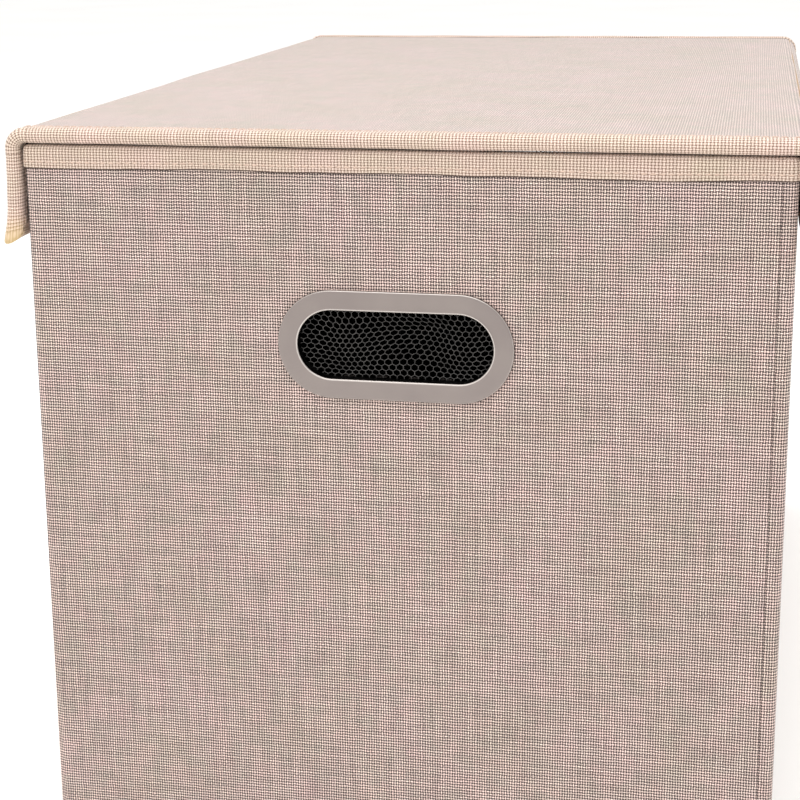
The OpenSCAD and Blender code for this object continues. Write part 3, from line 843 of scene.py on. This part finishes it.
def tape_strip(name, path, outward, side, nodes, rides, worn_corners=False):
    """Canvas tape rolled round the panels' edge. The section is a leg on the face, a half circle round the edge and a
    leg underneath. It is carried along a path of (s, y) points, each with the direction out over the edge, so a
    corner is mitred where that direction is diagonal. Two rows of stitches hold the legs."""
    leg = np.array([[-LEG, FACE + 0.1], [0.25 - LEG, ROLL_R - 0.2], [0.9 - LEG, ROLL_R], [-LEG / 2, ROLL_R - 0.06]])
    section = np.concatenate([leg, arc((0, 0), ROLL_R, 90, -90, 15), (leg * [1, -1])[::-1]])
    o, h = section[None, :, 0], section[None, :, 1]
    s, y = path[:, :1] + o * outward[:, :1], path[:, 1:] + o * outward[:, 1:]
    worn = 0 * s
    if worn_corners:
        off = np.hypot(s - ROLL_S - ROLL_R, np.abs(y) - ROLL_Y - ROLL_R)
        ear = np.exp(-(off / 6.0) ** 2)
        s, y, h = s + ear * (1.2 + 1.6 * h / ROLL_R), y + np.sign(y) * ear * 0.8, h * (1 + 0.35 * ear) + ear * 0.5
        worn = 0.8 * np.exp(-(off / 7.0) ** 2)
    uneven = 0.12 * ripple(s + 3 * y, 0 * s, 91, longest=60, shortest=9)
    points = saddle(s, y, h * (1 + uneven / ROLL_R)) * [side, 1, 1]
    run = runs(path)
    cloth = np.stack(np.broadcast_arrays(run[:, None] + 37 * len(name), runs(section)[None]), -1)
    piece = cloth_piece(name, points, TAPE, cloth, 0.6, flip=side == LEFT, worn=worn, raw=0 * worn)
    settle(piece, nodes, rides)
    spot = np.arange(1.4, run[-1] - 1.0, 3.3)
    seam = path - (LEG - 1.9) * outward
    rows = []
    for high in (ROLL_R, -ROLL_R):
        lines = [saddle(seam[:, 0], seam[:, 1], high * reach) for reach in (1.0, 1.5)]
        rows.append([np.stack([np.interp(spot + shift, run, line[:, k]) for k in range(3)], -1) * [side, 1, 1]
                     for line, shift in ((lines[0], 0), (lines[0], 0.4), (lines[1], 0))])
    place, onward, over = (np.concatenate(part) for part in zip(*rows))
    carry(stitch_row(name.replace("canvas", "stitches"), place, onward - place, over - place), rides)


def edge_path(s, y):
    """A path along s at one y, with the tape's outward direction towards the nearer end of the lid."""
    path = np.stack(np.broadcast_arrays(s, float(y)), -1)
    return path, np.stack([0 * path[:, 0], np.sign(path[:, 1])], -1)


def lid():
    """The lid's panel: cloth, lining and its two end tapes."""
    s = np.linspace(-FOLD_FROM, FOLD_FROM, 90)
    saddle_cloth("lid_cover_linen", s, LINEN, ["lid_cover"], "lid")
    saddle_cloth("lid_lining_nonwoven", s, LINING, ["lid_lining"], "lid")
    for end, name in ((FRONT, "lid_front_tape"), (BACK, "lid_back_tape")):
        path, outward = edge_path(np.linspace(end * FOLD_FROM, -end * FOLD_FROM, 120), end * ROLL_Y)
        tape_strip(name + "_canvas", path, outward, RIGHT, [name], "lid")


def side_flap(side):
    """One fold and its flap: cloth outside, lining inside, and the tape down the front edge, along the bottom and up
    the back edge, with small ears of folded tape at the bottom corners."""
    word = "left" if side == LEFT else "right"
    body, fold = word + "_flap", word + "_fold"
    turn = ("lid", body, (side * TURN_START[0] * MM, 0, TURN_START[1] * MM),
            (side * TURN_END[0] * MM, 0, TURN_END[1] * MM))
    over = np.concatenate([[FOLD_FROM], np.linspace(FOLD_X, FOLD_X + QUARTER, 11), [FOLD_TO]])
    down = np.linspace(FOLD_TO, ROLL_S - 0.4, 14)
    for s, part, rides, cover, lining in ((over, fold, turn, fold, fold),
                                          (down, body, body, body + "_cover", body + "_lining")):
        s = s if side == RIGHT else -s[::-1]
        saddle_cloth(part + "_linen", s, LINEN, [cover], rides)
        saddle_cloth(part + "_nonwoven", s, LINING, [lining], rides)
    for end, word_end in ((FRONT, "front"), (BACK, "back")):
        path, outward = edge_path(np.linspace(FOLD_FROM, FOLD_TO, 16)[::-end], end * ROLL_Y)
        tape_strip(f"{word}_{word_end}_corner_canvas", path, outward, side, [fold], turn)
    down = np.linspace(FOLD_TO, ROLL_S - 1.0, 16)
    close = np.array([0.8, 1.6, 2.8, 4.4, 6.4, 9.0])
    bottom = np.concatenate([close, np.linspace(12, 2 * ROLL_Y - 12, 150), 2 * ROLL_Y - close[::-1]]) - ROLL_Y
    parts = [edge_path(down, -ROLL_Y), (np.array([[ROLL_S, -ROLL_Y]]), np.array([[1, -1]])),
             (np.stack([0 * bottom + ROLL_S, bottom], -1), np.tile([[1, 0]], (len(bottom), 1))),
             (np.array([[ROLL_S, ROLL_Y]]), np.array([[1, 1]])), edge_path(down[::-1], ROLL_Y)]
    path, outward = (np.concatenate(part).astype(float) for part in zip(*parts))
    tape_strip(body + "_tape_canvas", path, outward, side, [body + "_tape"], body,
               worn_corners=True)


# ---------------------------------------------------------------- making it

for end in (FRONT, BACK):
    end_cloth(end)
    end_lining(end)
    metal_ring(end)
    slack_net(end)
for side in (LEFT, RIGHT):
    side_cloth(side)
    side_lining(side)
    side_flap(side)
bottom_cloth()
floor_lining()
rim_tape()
bottom_insert()
lid()

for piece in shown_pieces():
    for ending, finish in (("board", BOARD), ("backing_ring", NICKEL)):
        if piece.get("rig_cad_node", "").endswith(ending):
            for place in piece.material_slots:
                place.material = finish


# ---------------------------------------------------------------- studio

def pale_floor():
    """Matt white sprayed studio floor: even and very pale, with the faintest unevenness."""
    material, tree, shader = start_material("matt_white_studio_floor")
    where = add(tree, "TexCoord", {}, out="Object")
    cloud = add(tree, "TexNoise", {"Vector": where, "Scale": 3.0})
    colour = add(tree, "ValToRGB", {"Fac": cloud}, stops=((0.3, "#F8F7F5"), (0.7, "#FAFAF8")))
    dress(tree, shader, colour, cloud, 0.05, 1.0, 0.95, Specular_IOR_Level=0.1)
    return material


def soft_light(name, place, aim, size, power, tint):
    """A square area light that faces a point."""
    lamp = bpy.data.lights.new(name, "AREA")
    lamp.size, lamp.energy, lamp.color = size, power, shade(tint)[:3]
    facing = (Vector(aim) - Vector(place)).to_track_quat("-Z", "Y").to_matrix().to_4x4()
    source = bpy.data.objects.new(name, lamp)
    source.matrix_world = Matrix.Translation(place) @ facing
    bpy.context.scene.collection.objects.link(source)


ground = bpy.data.meshes.new("floor")
ground.from_pydata([(-30, -30, -0.0003), (30, -30, -0.0003), (30, 30, -0.0003), (-30, 30, -0.0003)], [], [range(4)])
ground.materials.append(pale_floor())
floor = bpy.data.objects.new("floor", ground)
bpy.context.scene.collection.objects.link(floor)

soft_light("overhead_softbox", (0.0, -0.5, 2.1), (0, -0.1, 0.2), 1.8, 34, "#FFFFFF")
soft_light("left_front_softbox", (-1.2, -2.4, 1.5), (0, -0.2, 0.2), 2.6, 16, "#FFFAF5")

world = bpy.data.worlds.new("studio")
world.use_nodes = True
world.node_tree.nodes["Background"].inputs["Color"].default_value = shade("#FFFFFF")
world.node_tree.nodes["Background"].inputs["Strength"].default_value = 1.05
bpy.context.scene.world = world
bpy.context.scene.view_settings.view_transform = "Standard"
